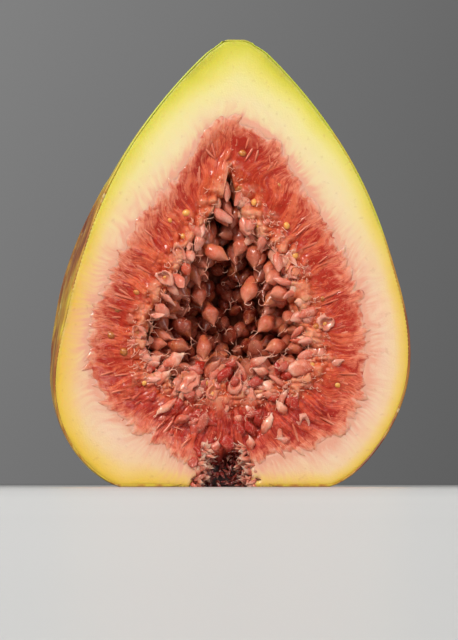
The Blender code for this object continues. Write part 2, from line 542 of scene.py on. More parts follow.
def pulp_material():
    """Wet pulp: pale strands with red between them, running together further in."""
    s = Shader("fig_pulp", 0.42, coat=0.5, coat_roughness=0.06, subsurface=0.45,
               radius_mm=(1.4, 0.30, 0.12))
    s.set("Specular IOR Level", 0.18)
    s.set("Coat IOR", WET_IOR)
    strands = s.attribute("strands", "Vector")
    fine = s.noise(0.20, 3.0, 0.3, place=strands)
    spots = s.noise(1.3, 4.0, 0.8)
    ridge = s.vary(s.attribute("ridge"), fine, 0.30)
    ridge = s.vary(ridge, s.noise(0.7, 2.0, 0.0, place=strands), 0.15)
    far = s.vary(s.math("MULTIPLY", s.attribute("inward"), 0.05), spots, 0.05)
    pale = s.ramp(far, [
        (0.0, (0.82, 0.40, 0.27)), (0.05, (0.80, 0.29, 0.175)), (0.15, (0.74, 0.155, 0.072)),
        (0.34, (0.64, 0.092, 0.028)), (0.60, (0.66, 0.112, 0.026))])
    deep = s.ramp(far, [
        (0.0, (0.80, 0.37, 0.25)), (0.05, (0.66, 0.150, 0.080)), (0.12, (0.45, 0.022, 0.008)),
        (0.34, (0.46, 0.028, 0.006)), (0.60, (0.52, 0.050, 0.009))])
    crimson = s.mix(s.span(ridge, 0.2, 0.8), (0.34, 0.012, 0.006), (0.62, 0.078, 0.036))
    colour = s.mix(s.span(ridge, 0.28, 0.76), deep, pale)
    low = s.math("MULTIPLY", s.attribute("low"), s.span(far, 0.06, 0.20))
    colour = s.mix(low, colour, crimson)
    share = s.vary(s.attribute("share"), spots, 0.10)
    rim = s.ramp(s.attribute("blobs"), [
        (0.10, (0.54, 0.066, 0.020)), (0.45, (0.72, 0.18, 0.080)), (0.85, (0.82, 0.36, 0.21))])
    colour = s.mix(s.span(share, 0.62, 0.90, 0.0, 0.9), colour, rim)
    # Cream flecks: partly pale bits in the pulp, partly painted glints of the wet surface
    flecks_and_glints = s.noise(0.45, 2.0, 1.5)
    colour = s.mix(s.span(flecks_and_glints, 0.64, 0.72, 0.0, 0.45), colour, (0.84, 0.42, 0.22))
    eye = s.vary(s.attribute("eye"), spots, 0.2)
    colour = s.mix(s.span(eye, 0.08, 0.35), colour, (0.30, 0.022, 0.012))
    # Near-black where the eye's channel sinks back is painted shade; the dark red before it is the
    # eye's own colour
    s.set("Base Color", s.mix(s.span(eye, 0.40, 1.00), colour, (0.055, 0.008, 0.006)))
    s.rough(spots, 0.32, 0.52)
    s.bump(s.math("ADD", fine, flecks_and_glints), 0.10, 0.7)
    return s.material


def body_material(name, gloss=0.38, subsurface=0.4):
    """Wet translucent stalks and florets, coloured along their length."""
    root, middle, tip, deep, glow = BODY_COLOURS[name]
    s = Shader(name, gloss, coat=0.8, coat_roughness=0.06, subsurface=subsurface,
               radius_mm=(0.40, 0.16, 0.10))
    s.set("Specular IOR Level", 0.22)
    s.set("Coat IOR", WET_IOR)
    spots = s.noise(0.8, 3.0, 0.5)
    along = s.vary(s.attribute("along"), spots, 0.15)
    colour = s.ramp(along, [(0.0, root), (0.5, middle), (1.0, tip)])
    colour = s.mix(s.attribute("tone"), colour, deep)
    veins = s.noise(0.35, 2.0, 1.0)
    light = tuple(min(0.9, 1.2 * c + 0.03) for c in tip)
    colour = s.mix(s.span(veins, 0.52, 0.74, 0.0, 0.35), colour, light)
    colour = s.mix(s.span(s.noise(1.5, 2.0), 0.54, 0.66, 0.0, 0.45), colour, glow)
    s.set("Base Color", colour)
    s.rough(spots, gloss - 0.08, gloss + 0.10)
    s.bump(s.math("ADD", spots, veins), 0.10, 0.8)
    return s.material


def wall_material():
    """Lumpy wall behind the florets of the hollow, painted dark as its shade."""
    s = Shader("fig_wall", 0.60, subsurface=0.1)
    s.set("Specular IOR Level", 0.15)
    lumps = s.noise(1.8, 3.0, 0.5)
    # Dark red-brown is painted shade of the back of the hollow
    s.set("Base Color", s.ramp(lumps, [(0.3, (0.12, 0.022, 0.010)), (0.7, (0.30, 0.070, 0.030))]))
    s.rough(lumps, 0.35, 0.5)
    s.bump(lumps, 0.2, 0.6)
    return s.material


def seed_material():
    """Golden seeds, from bright to brown."""
    s = Shader("fig_seed", 0.30, coat=0.5, coat_roughness=0.08, subsurface=0.2)
    s.set("Base Color", s.ramp(s.vary(s.attribute("tone"), s.noise(0.5), 0.2), [
        (0.0, (0.90, 0.42, 0.090)), (0.5, (0.74, 0.24, 0.035)), (1.0, (0.36, 0.10, 0.020))]))
    s.rough(s.noise(0.3), 0.25, 0.45)
    return s.material


def thread_material():
    """Fine threads, from pale pink to red."""
    s = Shader("fig_thread", 0.5)
    s.set("Base Color", s.ramp(s.vary(s.attribute("tone"), s.noise(0.6), 0.2), [
        (0.0, (0.88, 0.50, 0.36)), (0.6, (0.78, 0.30, 0.19)), (1.0, (0.52, 0.10, 0.05))]))
    s.rough(s.noise(0.5), 0.28, 0.45)
    return s.material


# ---- skin, flesh, pulp and hollow


def skin_rows():
    """Heights and shrink factors of the skin's rows, from the tip to the eye."""
    evenly = np.linspace(0.0, 1.0, SKIN_ROWS)
    steps = np.hypot(*np.diff(SIDES, axis=0).T)
    length = np.concatenate([[0.0], np.cumsum(steps)]) / steps.sum()
    v = np.interp(evenly, length, SIDES[:, 1])
    top = np.linspace(0.04, 1.0, 7)[:-1]
    base = np.linspace(1.0, EYE_RADIUS / BASE_RADIUS, 26)[1:]
    heights = np.concatenate([np.full(len(top), HEIGHT), v, np.zeros(len(base))])
    shrink = np.concatenate([top, np.ones(len(v)), base])
    return heights, shrink


def skin_points(heights, shrink, inset):
    """Grid of the skin's points, from the right cut edge round the back to the left."""
    v, k = heights[:, None], shrink[:, None]
    width, back, backset = width_at(SIDES, v), width_at(BACK, v), backset_at(v)
    start = -np.arcsin(backset / width)
    turn = start + (math.pi - 2.0 * start) * np.linspace(0.0, 1.0, SKIN_COLUMNS)
    behind = np.where(np.sin(turn) > 0.0, back - backset, width)
    u = lean_at(v) + k * (width - inset) * np.cos(turn)
    d = backset + k * (behind - inset) * np.sin(turn)
    height = np.broadcast_to(v, u.shape).copy()
    return np.stack([u, np.maximum(d, 0.0), height], -1), turn


def tip_rounding(points):
    """How far the corners of the cut stem are rounded down, in mm."""
    out = smoothstep(np.abs(points[..., 0] + 0.1), 1.0, 2.7)
    uneven = 1.0 + 0.5 * noise(points, 1.4, 18)
    return 0.55 * out * uneven * smoothstep(points[..., 2], 62.0, HEIGHT)


def skin_piece():
    """The whole outside: ribbed sides and back, stem scar, and base round the eye."""
    heights, shrink = skin_rows()
    outer, turn = skin_points(heights, shrink, 0.0)
    inner, _ = skin_points(heights, shrink, SKIN_THICKNESS)
    v = outer[..., 2]
    ribs = np.sin(RIBS * turn + 1.5 * noise(outer, 16.0, 3)) + 0.6 * noise(outer, 3.0, 4)
    away = smoothstep(outer[..., 1], 0.0, 4.0)
    sides = smoothstep(v, 2.0, 9.0) * (1.0 - smoothstep(v, 54.0, 62.0))
    pressed = (0.16 * np.maximum(ribs, -1.0) + 0.30) * away * sides
    middle = np.array([EYE_OFFSET, 6.0, 24.0])
    outer -= unit(outer - middle) * pressed[..., None]
    radius = shrink[:, None] * np.ones_like(v)
    at_base = (heights == 0.0)[:, None]
    eye_dent = np.exp(-((radius * BASE_RADIUS - EYE_RADIUS) / 1.8) ** 2) * at_base
    outer[..., 2] += 1.1 * eye_dent
    at_top = (heights == HEIGHT)[:, None] & (radius < 1.0)
    outer[..., 2] -= np.where(at_top, 0.25 * (1.0 - radius) + 0.1, 0.0)
    outer[..., 2] -= tip_rounding(outer)
    inner[..., 2] = np.clip(inner[..., 2], SKIN_THICKNESS, HEIGHT - SKIN_THICKNESS)
    inner[..., 2] -= tip_rounding(inner)
    inner[..., 2] = np.maximum(inner[..., 2], outer[..., 2] + 0.2 * at_base)
    blush = 0.44 + 0.30 * smoothstep(outer[..., 1], 2.0, 22.0)
    blush += 0.16 * (1.0 - smoothstep(v, 8.0, 34.0)) - 0.40 * smoothstep(v, 36.0, 58.0)
    blush = np.where(at_top, 0.36, blush - 0.10 * at_base) + 0.7 * eye_dent
    rows, columns = v.shape
    sheet = np.concatenate([outer, inner[:, ::-1]], 1)
    values = {"height": (sheet[..., 2] / HEIGHT).ravel(),
              "blush": np.concatenate([blush, blush[:, ::-1]], 1).ravel()}
    across = np.concatenate([np.linspace(0.0, 0.8, columns), np.linspace(0.82, 0.98, columns)])
    down = np.linspace(0.99, 0.01, rows)
    uv = np.stack(np.broadcast_arrays(across[None, :], down[:, None]), -1)
    faces = [f[:, ::-1] for f in tube_faces(rows, 2 * columns)]
    piece = make_piece("skin", sheet.reshape(-1, 3), faces, values, uv.reshape(-1, 2))
    return finish_piece(piece, skin_material())


def flesh_piece():
    """Pale ring of flesh on the cut face, which dips under the pulp at its inner edge."""
    angle = round_angles(OUTLINE_SAMPLES)
    share = np.concatenate([[0.0, 0.005, 0.011, 0.019, 0.030], np.linspace(0.05, 1.0, 39)])
    outer, inner = radius_on(FACE, angle), radius_on(PULP, angle)
    inner = np.minimum(inner, outer - 0.3) - FLESH_OVERLAP
    radius = outer[:, None] + (inner - outer)[:, None] * share
    face = on_face(angle[:, None], radius)
    rim, beyond = distance_to(FACE, face), radius - radius_on(PULP, angle)[:, None]
    front = at_depth(face, 0.0)
    ragged = 0.35 * noise(front, 0.9, 12) + 0.3 * noise(front, 2.5, 13)
    front[..., 1] = 0.22 * np.exp(-(rim / 0.30) ** 2) + 0.05 * noise(front, 4.0, 11)
    front[..., 1] += 1.4 * smoothstep(-beyond + 0.3 * ragged, 0.6, 2.6)
    front[..., 1] = np.maximum(front[..., 1], -0.02)
    eye = eye_zone(face)
    front[..., 1] += 3.2 * eye
    front[..., 2] -= tip_rounding(front)
    behind = front[:, ::-1].copy()
    behind[..., 1] = np.minimum(FLESH_BACK, FLESH_BACK_SHARE * width_at(BACK, behind[..., 2]))
    shrink = 1.0 - 0.05 * (1.0 - share[::-1])[None, :, None]
    behind[..., [0, 2]] = CENTRE + (behind[..., [0, 2]] - CENTRE) * shrink
    behind[..., 2] = np.maximum(behind[..., 2], SKIN_THICKNESS)
    ring = np.concatenate([front, behind], 1)
    top = smoothstep(front[..., 2], 24.0, 52.0)
    left = smoothstep(-front[..., 0], 4.0, 18.0)
    green = 0.78 + 0.25 * smoothstep(front[..., 2], 34.0, 52.0) + 0.45 * left * (1.0 - top)
    green += 1.5 * smoothstep(front[..., 2], 52.0, 62.5) + 0.15 * noise(front, 9.0, 14)
    reach = 1.2 + 0.9 * (1.0 - top) + 0.5 * noise(front, 8.0, 16)
    pink = np.exp(-np.maximum(beyond + ragged, 0.0) / reach) + smoothstep(-beyond, -0.3, 0.8)
    values = per_point({"rim": rim, "green": green, "pink": pink, "top": top, "eye": eye,
                        "strands": strand_place(face)}, slice(None, None, -1))
    rows, columns = ring.shape[:2]
    uv = (ring[..., [0, 2]] - np.array([-32.0, 0.0])) / HEIGHT
    uv[:, columns // 2:] = 0.02 + 0.05 * uv[:, columns // 2:]
    faces = grid_faces(rows, columns, wrap_rows=True, wrap_columns=True)
    piece = make_piece("cut_flesh", ring.reshape(-1, 3), [faces], values, uv.reshape(-1, 2))
    return finish_piece(piece, flesh_material())


def pulp_piece():
    """Cut face of the pulp: strands that come out of the flesh and melt together."""
    angle = round_angles(PULP_ROWS)[:, None]
    share = np.linspace(0.0, 1.0, PULP_COLUMNS)[None, :]
    outer, inner = radius_on(PULP, angle) + PULP_OVERLAP, radius_on(HOLLOW, angle)
    flat = at_depth(on_face(angle, inner), 0.0)
    inner = inner + 0.7 * noise(flat, 2.0, 45) + 0.45 * noise(flat, 0.8, 46)
    radius = outer + (inner - outer) * share
    face = on_face(angle, radius)
    strands = strand_place(face)
    ridge = noise(strands, 0.68, 43) + 0.55 * noise(strands, 0.36, 44)
    tuft = noise(strands * [1.0, 1.0, 0.3], 1.1, 47)
    inward = outer - PULP_OVERLAP - radius + 0.5 * tuft + 0.80 * ridge
    point = at_depth(face, 0.0)
    lumps = 0.26 * noise(point, 2.8, 21) + 0.16 * noise(point, 1.2, 22)
    lumps = lumps + 0.07 * noise(point, 0.5, 23)
    calm = smoothstep(inward, 5.0, 12.0)
    low = 1.0 - smoothstep(face[..., 1], 9.0, 17.0)
    depth = 0.80 * (1.0 - smoothstep(inward, -1.7, 0.7)) - 0.06
    depth = depth + 0.46 * smoothstep(inward, 1.0, 4.0)
    depth = depth - (0.8 + 1.4 * low) * lumps * smoothstep(inward, 1.6, 5.0)
    depth = depth - (0.12 - 0.07 * calm) * ridge * smoothstep(inward, -0.5, 1.5)
    fall = smoothstep(share, 0.84, 1.0)
    blobs = np.abs(noise(point, 1.7, 48)) + 0.5 * np.abs(noise(point, 0.8, 49))
    depth = depth + (0.55 - 1.2 * blobs) * smoothstep(share, 0.58, 0.82)
    eye = eye_zone(face)
    depth = np.maximum(depth, -0.18) + 2.4 * fall ** 2 + 3.4 * eye
    front = np.stack([face[..., 0], depth, np.maximum(face[..., 1], 0.4)], -1)
    last = np.array([-1, -18, 0])
    behind = front[:, last]
    behind[..., 1] = PULP_BACK
    sheet = np.concatenate([front, behind], 1)
    values = per_point({"inward": inward, "ridge": 0.5 + 0.5 * ridge,
                        "share": share + 0.0 * inward, "eye": eye, "low": low,
                        "blobs": blobs, "strands": strands}, last)
    uv = (sheet[..., [0, 2]] - np.array([-30.0, -3.0])) / 60.0
    uv[:, PULP_COLUMNS:] = 0.01 + 0.03 * uv[:, PULP_COLUMNS:]
    faces = grid_faces(PULP_ROWS, sheet.shape[1], wrap_rows=True, wrap_columns=True)
    piece = make_piece("pulp", sheet.reshape(-1, 3), [faces], values, uv.reshape(-1, 2))
    return finish_piece(piece, pulp_material())


def hollow_piece():
    """Wall of the hollow, a closed bowl behind the florets."""
    angle = round_angles(WALL_ROWS)[:, None]
    step = np.linspace(1.0, 1.998, WALL_COLUMNS)[None, :]
    front = bed_points(angle, step)
    front[..., 1] -= 0.5 * noise(front, 2.4, 24) + 0.3 * noise(front, 1.1, 25)
    behind = front[:, ::-6].copy()
    behind[..., 1] += WALL_THICKNESS
    sheet = np.concatenate([front, behind], 1)
    faces = grid_faces(WALL_ROWS, sheet.shape[1], wrap_rows=True, wrap_columns=True)
    piece = make_piece("hollow_wall", sheet.reshape(-1, 3), [faces])
    return finish_piece(piece, wall_material())


# ---- shapes that repeat

# Florets are pressed back as if the knife had cut them: of what stands out past the
# limit, all but 15% is taken off
KNIFE_LIMIT, KNIFE_PRESS = -0.30, 0.85

# Half-width along the length, as (share of the length, share of the width). The bowl is
# (radius, height) from the middle of its foot, over its edge and down inside.
FLORET_PROFILE = [(0.0, 0.30), (0.14, 0.52), (0.32, 0.88), (0.50, 1.0), (0.66, 0.86),
                  (0.79, 0.52), (0.88, 0.27), (0.95, 0.13), (1.0, 0.04)]
STALK_PROFILE = [(0.0, 0.30), (0.2, 0.85), (0.5, 1.0), (0.8, 0.85), (1.0, 0.25)]
LUMP_PROFILE = [(0.0, 0.12), (0.12, 0.60), (0.35, 0.96), (0.60, 1.0), (0.85, 0.62), (1.0, 0.12)]
BOWL_PROFILE = [(0.15, 0.0), (0.62, 0.12), (0.92, 0.5), (1.0, 0.80), (0.93, 0.97),
                (0.76, 0.98), (0.60, 0.80), (0.40, 0.62), (0.08, 0.56)]
SEED_PROFILE = [(0.0, 0.10), (0.12, 0.62), (0.34, 0.95), (0.60, 1.0), (0.84, 0.66), (1.0, 0.10)]


def template(profile, sides, rings):
    """Closed round body of unit length and width: its points, faces and share of the length."""
    share = 0.5 - 0.5 * np.cos(np.linspace(0.0, math.pi, rings))
    knots = np.array(profile)
    width = np.interp(share, knots[:, 0], knots[:, 1])
    width[1:-1] = 0.25 * width[:-2] + 0.5 * width[1:-1] + 0.25 * width[2:]
    turn = round_angles(sides)
    points = np.stack([width[:, None] * np.cos(turn), width[:, None] * np.sin(turn),
                       np.broadcast_to(share[:, None], (rings, sides))], -1).reshape(-1, 3)
    return points, tube_faces(rings, sides), points[:, 2]


def bowl_template(profile, sides, rings):
    """Open cup from (radius, height) points, drawn out to a point on one side."""
    knots = np.array(profile)
    steps = np.concatenate([[0.0], np.cumsum(np.hypot(*np.diff(knots, axis=0).T))])
    t = np.linspace(0.0, steps[-1], rings)
    radius, height = (np.interp(t, steps, knots[:, i]) for i in (0, 1))
    turn = round_angles(sides)
    point = 1.0 + 0.45 * np.maximum(np.sin(turn), 0.0) ** 5
    points = np.stack([radius[:, None] * np.cos(turn), radius[:, None] * np.sin(turn) * point,
                       np.broadcast_to(height[:, None], (rings, sides))], -1)
    return points.reshape(-1, 3), tube_faces(rings, sides), np.repeat(t / t[-1], sides)


class Batch(NamedTuple):
    """Many copies of a shape, with a row for each copy. facing is where one side of it
    looks, size is (width, thickness, length), bend is (sideways, towards facing), and
    tone goes from 0 to 1."""
    place: np.ndarray
    axis: np.ndarray
    facing: np.ndarray
    size: np.ndarray
    bend: np.ndarray
    tone: np.ndarray


def joined(*batches):
    return Batch(*(np.concatenate(columns) for columns in zip(*batches)))


def directions_of(batch):
    """Unit vectors of each copy: along it, to its front and to its side."""
    along = unit(batch.axis)
    front = unit(batch.facing - (batch.facing * along).sum(-1, keepdims=True) * along)
    return along, front, np.cross(front, along)


def grow(points, batch, lumpiness, seed):
    """The points of a shape on every copy of a batch, as an array of copies by points."""
    along, front, side = directions_of(batch)
    local = points[None] * batch.size[:, None, :]
    curve = points[None, :, 2] ** 2 * batch.size[:, None, 2]
    local_x = local[..., 0] + curve * batch.bend[:, None, 0]
    local_y = local[..., 1] + curve * batch.bend[:, None, 1]
    middle = batch.place[:, None] + local[..., 2, None] * along[:, None]
    grown = middle + local_x[..., None] * side[:, None] + local_y[..., None] * front[:, None]
    grown = grown + (grown - middle) * (lumpiness * noise(grown, 0.7, seed))[..., None]
    grown[..., 1] -= KNIFE_PRESS * np.minimum(grown[..., 1] - KNIFE_LIMIT, 0.0)
    return grown


def grown_piece(name, shape, batch, material, lumpiness, seed):
    """One piece of many copies, with each copy's tone and its length as values."""
    points, face_sets, along = shape
    grown = grow(points, batch, lumpiness, seed)
    count, each = grown.shape[:2]
    values = {"along": np.tile(along, count), "tone": np.repeat(batch.tone, each)}
    faces = copied_faces(face_sets, count, each)
    return finish_piece(make_piece(name, grown.reshape(-1, 3), faces, values), material)


# ---- where things grow, and which way


def spread(random, count, gap, candidates):
    """Picks up to count points that are at least a gap apart."""
    kept = []
    for point in candidates(random, count * 14):
        if len(kept) == count:
            break
        if not kept or np.min(np.linalg.norm(np.array(kept) - point, axis=1)) >= gap:
            kept.append(point)
    return np.array(kept)


def on_pulp(share_low, share_high, v_low=0.0, v_high=HEIGHT):
    """Random points of the pulp between two shares of the way to the hollow."""
    def candidates(random, count):
        angle = random.uniform(0.0, 2.0 * math.pi, 3 * count)
        share = random.uniform(share_low, share_high, 3 * count)
        outer, inner = radius_on(PULP, angle), radius_on(HOLLOW, angle)
        radius = outer + (inner - outer) * share
        weight = radius * (outer - inner)
        kept = random.uniform(0.0, weight.max(), 3 * count) < weight
        face = on_face(angle, radius)[kept]
        return face[(face[:, 1] > v_low) & (face[:, 1] < v_high)][:count]
    return candidates


def towards_focus(face):
    """Unit (u, v) directions from points of the cut face to where the florets point."""
    return unit(FOCUS - face)


def upright(face_direction, tilt):
    """(u, d, v) axis from a direction on the cut face, tilted towards the viewer."""
    return np.stack([face_direction[:, 0], -tilt, face_direction[:, 1]], -1)


def facing_viewer(count, random, wobble=0.2):
    facing = random.normal(0.0, wobble, (count, 3))
    facing[:, 1] -= 1.0
    return facing


def tones(random, mean, wobble, count):
    return np.clip(mean + random.normal(0.0, wobble, count), 0.0, 1.0)


def strewn(random, place, direction, tilt, facing, size, bend, tone):
    """Batch with tilts, facings, bends and tones drawn in that order. tilt is (low, high),
    facing and bend are spreads, and tone is (mean, spread)."""
    count = len(place)
    return Batch(place, upright(direction, random.uniform(*tilt, count)),
                 facing_viewer(count, random, facing), size,
                 random.normal(0.0, bend, (count, 2)), tones(random, *tone, count))


def set_by_hand(rows, thickness, facing, bend):
    """Batch from rows of (u, v, depth), direction, width, length and tone."""
    place, axis, width, length, tone = (np.array(column) for column in zip(*rows))
    either_way = (-1.0) ** np.arange(len(rows))[:, None]
    return Batch(place[:, [0, 2, 1]], axis[:, [0, 2, 1]] * [1.0, -1.0, 1.0],
                 np.tile(facing, (len(rows), 1)),
                 np.stack([width, thickness * width, length], -1), either_way * bend, tone)


# ---- stalks, florets and seeds

# Rows of stalks round the pulp: gap, how far out they start, depth and tone
FRINGE_ROWS = ((1.1, 0.5, 0.26, 0.10), (1.3, -1.2, 0.46, 0.35))


def fringe(random):
    """Fine stalks that come out of the flesh all round the pulp, in two rows."""
    loop = smooth_loop(PULP_POINTS, 60)
    steps = np.hypot(*(np.roll(loop, -1, 0) - loop).T)
    length = np.concatenate([[0.0], np.cumsum(steps)])
    closed = np.concatenate([loop, loop[:1]])
    batches = []
    for gap, push, depth, tone in FRINGE_ROWS:
        count = int(length[-1] / gap)
        along = (np.arange(count) + random.uniform(-0.4, 0.4, count)) * gap % length[-1]
        face = np.stack([np.interp(along, length, closed[:, i]) for i in (0, 1)], -1)
        eye = (np.abs(face[:, 0] - EYE_OFFSET) < 5.5) & (face[:, 1] < 7.0)
        face = face[~eye]
        count = len(face)
        inward = towards_focus(face)
        face = face - inward * (push + random.normal(0.0, 0.6, count))[:, None]
        across = np.stack([-inward[:, 1], inward[:, 0]], -1)
        inward = unit(inward + across * random.normal(0.0, 0.15, count)[:, None])
        size = np.stack([random.uniform(0.14, 0.24, count), random.uniform(0.12, 0.22, count),
                         random.uniform(1.8, 4.6, count)], -1)
        place = at_depth(face, depth + random.uniform(-0.05, 0.15, count))
        batches.append(strewn(random, place, inward, (-0.03, 0.03), 0.2, size,
                              (0.11, 0.022), (tone, 0.22)))
    return joined(*batches)


def middle_lumps(random):
    """Swollen pale ends of stalks, nearly sunk in the pulp near the hollow."""
    face = spread(random, 80, 1.5, on_pulp(0.64, 0.95, 12.0, 44.0))
    count = len(face)
    inward = unit(towards_focus(face) + random.normal(0.0, 0.45, (count, 2)))
    width = random.uniform(0.50, 0.95, count)
    size = np.stack([width, 0.7 * width, random.uniform(1.8, 3.4, count)], -1)
    depth = 0.80 + random.uniform(-0.15, 0.35, count)
    depth += 1.2 * smoothstep(pulp_share(face), 0.84, 1.0) ** 2
    return strewn(random, at_depth(face, depth), inward, (-0.2, 0.2), 0.5, size, 0.2, (0.40, 0.35))


def rim_florets(random):
    """Pale florets along the edge of the hollow, which lean into it."""
    face = spread(random, 74, 1.5, on_pulp(0.84, 0.98, 13.0, 43.0))
    count = len(face)
    inward = unit(towards_focus(face) + random.normal(0.0, 0.35, (count, 2)))
    width = random.uniform(0.70, 1.15, count)
    size = np.stack([width, 0.9 * width, random.uniform(2.2, 3.4, count)], -1)
    inside = smoothstep(pulp_share(face), 0.85, 1.05)
    place = at_depth(face - 1.2 * inward, 1.0 + 1.6 * inside + random.uniform(-0.3, 0.5, count))
    return strewn(random, place, inward, (-0.9, 0.2), 0.5, size, 0.16, (0.30, 0.28))


def lower_marks():
    """Pale florets of the lower pulp, each listed one by one."""
    return set_by_hand([
        ((-6.9, 15.6, 0.35), (-0.55, -1.00, 0.05), 0.80, 4.2, 0.0),
        ((-8.6, 12.9, 0.30), (-0.66, -0.75, 0.05), 0.62, 4.4, 0.0),
        ((11.2, 16.9, 0.55), (-1.00, 0.12, 0.10), 1.10, 4.8, 0.0),
        ((4.6, 16.4, 0.45), (-1.00, 0.10, 0.00), 0.75, 2.4, 0.0),
        ((2.1, 14.9, 0.30), (-0.10, -1.00, 0.05), 0.60, 4.2, 0.1),
        ((-1.7, 12.3, 0.30), (0.05, -1.00, 0.05), 0.50, 2.4, 0.1),
        ((6.2, 8.8, 0.30), (-0.05, -1.00, 0.05), 0.55, 2.6, 0.1),
        ((6.4, 11.4, 0.30), (0.10, 1.00, 0.10), 0.60, 2.6, 0.2),
        ((2.0, 5.2, 0.35), (0.00, 1.00, 0.15), 0.75, 2.2, 0.2),
        ((-3.4, 4.9, 0.35), (0.20, 1.00, 0.15), 0.75, 1.8, 0.3),
        ((-1.2, 5.0, 0.55), (0.05, 1.00, 0.30), 1.10, 2.6, 1.0),
        ((-11.6, 14.6, 0.45), (0.60, 0.80, 0.10), 0.70, 2.8, 0.1),
        ((-10.6, 17.4, 0.55), (0.90, 0.30, 0.10), 1.00, 3.4, 0.0),
        ((-2.4, 17.4, 1.3), (-0.30, -1.00, 0.10), 0.80, 3.0, 0.4),
        ((0.4, 17.6, 1.4), (0.10, -1.00, 0.10), 0.70, 2.6, 0.3)],
        0.8, (-0.2, -1.0, 0.2), (0.16, -0.05))


def tumbled_florets(random):
    """Florets lying every way in the lower part of the pulp, clear of the pale ones."""
    face = spread(random, 260, 1.00, on_pulp(0.10, 1.1, 4.5, 17.5))
    face = face[np.abs(face[:, 0] + 1.5) < 12.5 - 0.2 * (17.5 - face[:, 1])]
    marks = lower_marks()
    along = marks.place + 0.5 * marks.size[:, 2:] * unit(marks.axis)
    taken = np.concatenate([marks.place, along])[:, [0, 2]]
    face = face[np.linalg.norm(face[:, None] - taken[None], axis=-1).min(1) > 1.1]
    count = len(face)
    inward = unit(towards_focus(face) + random.normal(0.0, 0.7, (count, 2)))
    width = random.uniform(0.35, 0.95, count)
    size = np.stack([width, 0.9 * width, width * random.uniform(2.0, 4.4, count)], -1)
    place = at_depth(face, 0.85 + random.uniform(-0.4, 0.6, count))
    return strewn(random, place, inward, (-0.3, 0.6), 0.5, size, 0.22, (0.80, 0.45))


def hollow_florets(random):
    """Pointed florets that line the wall of the hollow, painted darker further in as shade."""
    def candidates(random, count):
        angle = random.uniform(0.0, 2.0 * math.pi, 3 * count)
        step = random.uniform(1.14, 1.98, 3 * count)
        wall = bed_points(angle, step)
        weight = radius_on(HOLLOW, angle) * (0.5 + np.cos((step - 1.0) * 0.5 * math.pi))
        return wall[random.uniform(0.0, weight.max(), 3 * count) < weight][:count]

    place = spread(random, 260, 1.55, candidates)
    count = len(place)
    aim = np.array([FOCUS[0], 1.0, FOCUS[1] + 3.0])
    axis = unit(aim - place) + np.array([0.0, -0.45, -0.30]) + random.normal(0.0, 0.32, (count, 3))
    width = random.uniform(0.85, 1.40, count)
    size = np.stack([width, width, random.uniform(2.7, 4.6, count)], -1)
    # Tone follows depth: florets further in take the darker colour as painted shade
    return Batch(place - 0.3 * unit(axis), axis, facing_viewer(count, random, 0.6), size,
                 random.normal(0.0, 0.16, (count, 2)),
                 tones(random, 0.95 * place[:, 1] / HOLLOW_DEPTH, 0.22, count))


def large_florets():
    """The largest florets of the hollow, each listed one by one."""
    return set_by_hand([
        ((-4.6, 34.6, 2.2), (0.80, -0.60, 0.30), 1.25, 4.2, 0.0),
        ((2.9, 30.2, 4.4), (-0.22, -1.00, 0.35), 1.35, 4.4, 0.0),
        ((-3.4, 26.4, 6.0), (0.10, -1.00, 0.50), 1.30, 3.6, 0.35),
        ((-5.2, 29.0, 5.4), (0.30, -0.90, 0.40), 1.25, 3.4, 0.5),
        ((-8.2, 24.6, 4.8), (0.45, -0.90, 0.30), 1.40, 3.8, 0.8),
        ((1.6, 36.0, 3.6), (-0.35, -0.95, 0.30), 1.15, 3.6, 0.3),
        ((6.0, 24.4, 4.6), (-0.75, -0.50, 0.40), 1.20, 3.6, 0.2),
        ((-4.6, 21.6, 2.6), (0.10, -1.00, 0.35), 1.25, 3.8, 0.3),
        ((-9.4, 20.6, 3.4), (0.70, -0.30, 0.40), 1.30, 3.2, 0.6),
        ((3.6, 19.6, 4.4), (-0.30, 0.20, 0.80), 1.15, 3.0, 0.5),
        ((7.4, 20.4, 3.0), (-0.85, -0.10, 0.30), 1.20, 3.2, 0.1)],
        1.0, (-0.3, -1.0, 0.3), (0.10, -0.08))


def cups(random):
    """Florets that the knife opened: pale cups that each hold a seed. The first is the
    largest, and most are listed one by one."""
    inner = spread(random, 4, 5.0, on_pulp(0.62, 0.93, 18.0, 44.0))
    chosen = np.array([(-7.4, 14.6), (-3.6, 13.1), (-0.4, 14.4), (9.6, 8.8),
                       (8.5, 13.2), (-8.4, 33.9), (3.6, 35.3), (-14.2, 22.0)])
    face = np.concatenate([chosen, inner])
    gap = np.linalg.norm(face[:, None] - face[None], axis=-1) + 9.0 * np.tri(len(face)).T
    face = face[gap.min(1) > 2.0]
    count = len(face)
    tail = unit(towards_focus(face) + random.normal(0.0, 0.6, (count, 2)))
    tail[0] = (-0.64, -0.77)
    width = random.uniform(0.70, 1.05, count)
    width[0] = 1.55
    axis = random.normal(0.0, 0.25, (count, 3)) - np.array([0.0, 1.0, 0.0])
    depth = 0.95 + random.uniform(-0.1, 0.3, count)
    depth += 1.1 * smoothstep(pulp_share(face), 0.88, 1.0)
    size = np.stack([width, 1.25 * width, 1.30 + 0.0 * width], -1)
    return Batch(at_depth(face, depth), axis, at_depth(tail, 0.0), size,
                 np.zeros((count, 2)), tones(random, 0.25, 0.25, count))


